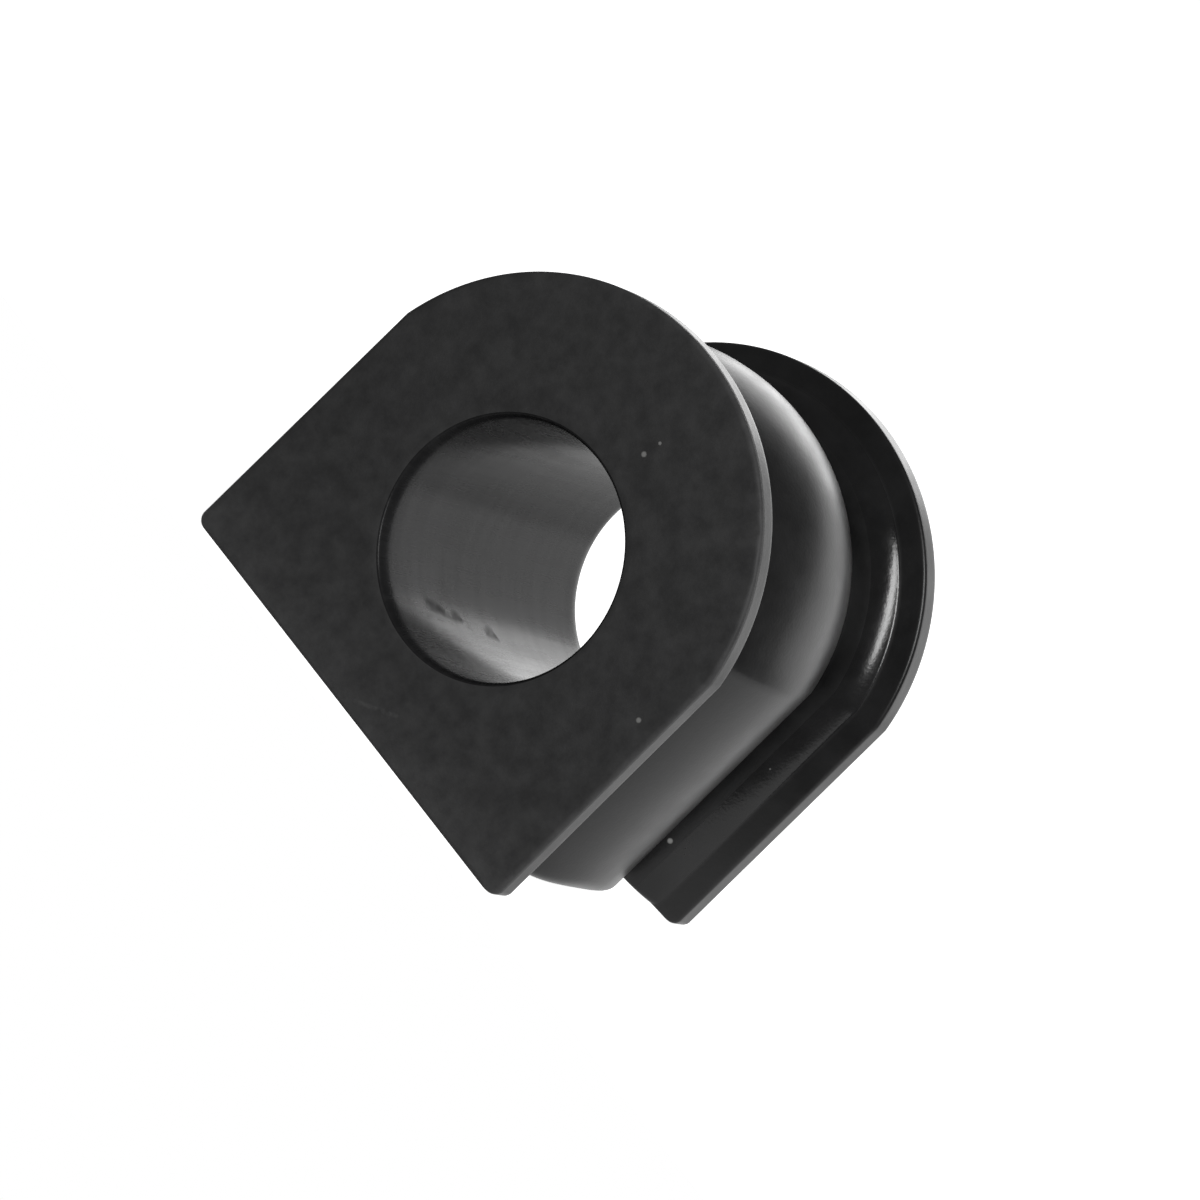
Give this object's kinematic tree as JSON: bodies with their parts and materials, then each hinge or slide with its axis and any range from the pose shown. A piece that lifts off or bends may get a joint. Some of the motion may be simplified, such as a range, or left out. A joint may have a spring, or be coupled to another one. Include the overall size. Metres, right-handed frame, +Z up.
{
  "type": "sway bar bushing",
  "caption": "Black rubber bushing with a flat foot, a round top, a bore for the bar and a crowned strap groove between two thin flanges.",
  "frame": {"origin": "middle of the flat foot's underside", "axes": "+Z up from the foot towards the round top, Y along the bar's bore, X across the foot"},
  "size_m": [0.0486, 0.0442, 0.0482],
  "materials": {
    "black_rubber": "moulded black rubber, satin"
  },
  "bodies": {
    "root": {"bushing": "black_rubber"}
  },
  "joints": []
}
